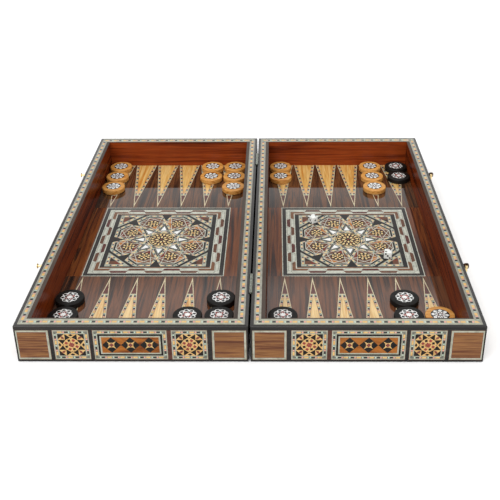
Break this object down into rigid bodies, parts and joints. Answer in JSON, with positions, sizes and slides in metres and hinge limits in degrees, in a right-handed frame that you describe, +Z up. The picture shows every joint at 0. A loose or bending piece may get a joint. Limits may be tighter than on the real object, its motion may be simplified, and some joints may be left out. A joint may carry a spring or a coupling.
{
  "type": "backgammon set",
  "caption": "Folding inlaid wooden backgammon board in two hinged trays, with swing hooks, checkers in the starting position and dice.",
  "frame": {"origin": "on the surface the open set lies on, midway between the two trays and midway front to back", "axes": "+X from the left tray to the right tray, +Y from the near side to the far side, +Z up"},
  "size_m": [0.506, 0.5, 0.0472],
  "materials": {
    "rail_wood": "dark brown inlaid wood, gloss lacquer",
    "base_wood": "brown veneer, satin lacquer",
    "field_veneer": "rosewood veneer with maple, bone and ebony inlay, gloss lacquer",
    "medallion_veneer": "marquetry of dark woods, bone and nacre, gloss lacquer",
    "hinge_steel": "nickel plated",
    "latch_brass": "polished",
    "light_checker_wood": "light wood, satin lacquer",
    "dark_checker_wood": "black stained wood, satin lacquer",
    "die_resin": "white with black pips"
  },
  "bodies": {
    "right_half": {"right_front_rail": "rail_wood", "right_back_rail": "rail_wood", "right_hinge_rail": "rail_wood", "right_outer_rail": "rail_wood", "right_base_panel": "base_wood", "right_front_field": "field_veneer", "right_medallion_panel": "medallion_veneer", "right_back_field": "field_veneer", "front_hinge_right_leaf": "hinge_steel", "front_hinge_pin": "hinge_steel", "back_hinge_right_leaf": "hinge_steel", "back_hinge_pin": "hinge_steel", "front_latch_screw": "latch_brass", "back_latch_screw": "latch_brass"},
    "left_half": {"left_front_rail": "rail_wood", "left_back_rail": "rail_wood", "left_hinge_rail": "rail_wood", "left_outer_rail": "rail_wood", "left_base_panel": "base_wood", "left_front_field": "field_veneer", "left_medallion_panel": "medallion_veneer", "left_back_field": "field_veneer", "front_hinge_left_leaf": "hinge_steel", "back_hinge_left_leaf": "hinge_steel", "front_latch_stud": "latch_brass", "back_latch_stud": "latch_brass"},
    "front_hook": {"front_latch_hook": "latch_brass"},
    "back_hook": {"back_latch_hook": "latch_brass"},
    "light_checker_01": {"light_checker_01": "light_checker_wood"},
    "light_checker_02": {"light_checker_02": "light_checker_wood"},
    "light_checker_03": {"light_checker_03": "light_checker_wood"},
    "light_checker_04": {"light_checker_04": "light_checker_wood"},
    "light_checker_05": {"light_checker_05": "light_checker_wood"},
    "light_checker_06": {"light_checker_06": "light_checker_wood"},
    "light_checker_07": {"light_checker_07": "light_checker_wood"},
    "light_checker_08": {"light_checker_08": "light_checker_wood"},
    "light_checker_09": {"light_checker_09": "light_checker_wood"},
    "light_checker_10": {"light_checker_10": "light_checker_wood"},
    "light_checker_11": {"light_checker_11": "light_checker_wood"},
    "light_checker_12": {"light_checker_12": "light_checker_wood"},
    "light_checker_13": {"light_checker_13": "light_checker_wood"},
    "light_checker_14": {"light_checker_14": "light_checker_wood"},
    "light_checker_15": {"light_checker_15": "light_checker_wood"},
    "dark_checker_01": {"dark_checker_01": "dark_checker_wood"},
    "dark_checker_02": {"dark_checker_02": "dark_checker_wood"},
    "dark_checker_03": {"dark_checker_03": "dark_checker_wood"},
    "dark_checker_04": {"dark_checker_04": "dark_checker_wood"},
    "dark_checker_05": {"dark_checker_05": "dark_checker_wood"},
    "dark_checker_06": {"dark_checker_06": "dark_checker_wood"},
    "dark_checker_07": {"dark_checker_07": "dark_checker_wood"},
    "dark_checker_08": {"dark_checker_08": "dark_checker_wood"},
    "dark_checker_09": {"dark_checker_09": "dark_checker_wood"},
    "dark_checker_10": {"dark_checker_10": "dark_checker_wood"},
    "dark_checker_11": {"dark_checker_11": "dark_checker_wood"},
    "dark_checker_12": {"dark_checker_12": "dark_checker_wood"},
    "dark_checker_13": {"dark_checker_13": "dark_checker_wood"},
    "dark_checker_14": {"dark_checker_14": "dark_checker_wood"},
    "dark_checker_15": {"dark_checker_15": "dark_checker_wood"},
    "die_1": {"die_1": "die_resin"},
    "die_2": {"die_2": "die_resin"}
  },
  "joints": [
    {"name": "fold", "type": "hinge", "parent": "right_half", "child": "left_half", "pos_m": [0, 0, 0.04515], "axis": [0, -1, 0], "range_deg": [-180, 0]},
    {"name": "front_hook_swing", "type": "hinge", "parent": "right_half", "child": "front_hook", "pos_m": [0.246, -0.124, 0.041], "axis": [1, 0, 0], "range_deg": [-180, 60]},
    {"name": "back_hook_swing", "type": "hinge", "parent": "right_half", "child": "back_hook", "pos_m": [0.246, 0.124, 0.041], "axis": [1, 0, 0], "range_deg": [-180, 60]},
    {"name": "light_checker_01_lift", "type": "slide", "parent": "left_half", "child": "light_checker_01", "axis": [0, 0, 1], "range_m": [0, 0.055]},
    {"name": "light_checker_02_lift", "type": "slide", "parent": "left_half", "child": "light_checker_02", "axis": [0, 0, 1], "range_m": [0, 0.055]},
    {"name": "light_checker_03_lift", "type": "slide", "parent": "left_half", "child": "light_checker_03", "axis": [0, 0, 1], "range_m": [0, 0.055]},
    {"name": "light_checker_04_lift", "type": "slide", "parent": "left_half", "child": "light_checker_04", "axis": [0, 0, 1], "range_m": [0, 0.055]},
    {"name": "light_checker_05_lift", "type": "slide", "parent": "left_half", "child": "light_checker_05", "axis": [0, 0, 1], "range_m": [0, 0.055]},
    {"name": "light_checker_06_lift", "type": "slide", "parent": "left_half", "child": "light_checker_06", "axis": [0, 0, 1], "range_m": [0, 0.055]},
    {"name": "light_checker_07_lift", "type": "slide", "parent": "left_half", "child": "light_checker_07", "axis": [0, 0, 1], "range_m": [0, 0.055]},
    {"name": "light_checker_08_lift", "type": "slide", "parent": "left_half", "child": "light_checker_08", "axis": [0, 0, 1], "range_m": [0, 0.055]},
    {"name": "light_checker_09_lift", "type": "slide", "parent": "right_half", "child": "light_checker_09", "axis": [0, 0, 1], "range_m": [0, 0.055]},
    {"name": "light_checker_10_lift", "type": "slide", "parent": "right_half", "child": "light_checker_10", "axis": [0, 0, 1], "range_m": [0, 0.055]},
    {"name": "light_checker_11_lift", "type": "slide", "parent": "right_half", "child": "light_checker_11", "axis": [0, 0, 1], "range_m": [0, 0.055]},
    {"name": "light_checker_12_lift", "type": "slide", "parent": "right_half", "child": "light_checker_12", "axis": [0, 0, 1], "range_m": [0, 0.055]},
    {"name": "light_checker_13_lift", "type": "slide", "parent": "right_half", "child": "light_checker_13", "axis": [0, 0, 1], "range_m": [0, 0.055]},
    {"name": "light_checker_14_lift", "type": "slide", "parent": "right_half", "child": "light_checker_14", "axis": [0, 0, 1], "range_m": [0, 0.055]},
    {"name": "light_checker_15_lift", "type": "slide", "parent": "right_half", "child": "light_checker_15", "axis": [0, 0, 1], "range_m": [0, 0.055]},
    {"name": "dark_checker_01_lift", "type": "slide", "parent": "left_half", "child": "dark_checker_01", "axis": [0, 0, 1], "range_m": [0, 0.055]},
    {"name": "dark_checker_02_lift", "type": "slide", "parent": "left_half", "child": "dark_checker_02", "axis": [0, 0, 1], "range_m": [0, 0.055]},
    {"name": "dark_checker_03_lift", "type": "slide", "parent": "left_half", "child": "dark_checker_03", "axis": [0, 0, 1], "range_m": [0, 0.055]},
    {"name": "dark_checker_04_lift", "type": "slide", "parent": "left_half", "child": "dark_checker_04", "axis": [0, 0, 1], "range_m": [0, 0.055]},
    {"name": "dark_checker_05_lift", "type": "slide", "parent": "left_half", "child": "dark_checker_05", "axis": [0, 0, 1], "range_m": [0, 0.055]},
    {"name": "dark_checker_06_lift", "type": "slide", "parent": "left_half", "child": "dark_checker_06", "axis": [0, 0, 1], "range_m": [0, 0.055]},
    {"name": "dark_checker_07_lift", "type": "slide", "parent": "left_half", "child": "dark_checker_07", "axis": [0, 0, 1], "range_m": [0, 0.055]},
    {"name": "dark_checker_08_lift", "type": "slide", "parent": "left_half", "child": "dark_checker_08", "axis": [0, 0, 1], "range_m": [0, 0.055]},
    {"name": "dark_checker_09_lift", "type": "slide", "parent": "right_half", "child": "dark_checker_09", "axis": [0, 0, 1], "range_m": [0, 0.055]},
    {"name": "dark_checker_10_lift", "type": "slide", "parent": "right_half", "child": "dark_checker_10", "axis": [0, 0, 1], "range_m": [0, 0.055]},
    {"name": "dark_checker_11_lift", "type": "slide", "parent": "right_half", "child": "dark_checker_11", "axis": [0, 0, 1], "range_m": [0, 0.055]},
    {"name": "dark_checker_12_lift", "type": "slide", "parent": "right_half", "child": "dark_checker_12", "axis": [0, 0, 1], "range_m": [0, 0.055]},
    {"name": "dark_checker_13_lift", "type": "slide", "parent": "right_half", "child": "dark_checker_13", "axis": [0, 0, 1], "range_m": [0, 0.055]},
    {"name": "dark_checker_14_lift", "type": "slide", "parent": "right_half", "child": "dark_checker_14", "axis": [0, 0, 1], "range_m": [0, 0.055]},
    {"name": "dark_checker_15_lift", "type": "slide", "parent": "right_half", "child": "dark_checker_15", "axis": [0, 0, 1], "range_m": [0, 0.055]},
    {"name": "die_1_lift", "type": "slide", "parent": "right_half", "child": "die_1", "axis": [0, 0, 1], "range_m": [0, 0.055]},
    {"name": "die_2_lift", "type": "slide", "parent": "right_half", "child": "die_2", "axis": [0, 0, 1], "range_m": [0, 0.055]}
  ]
}
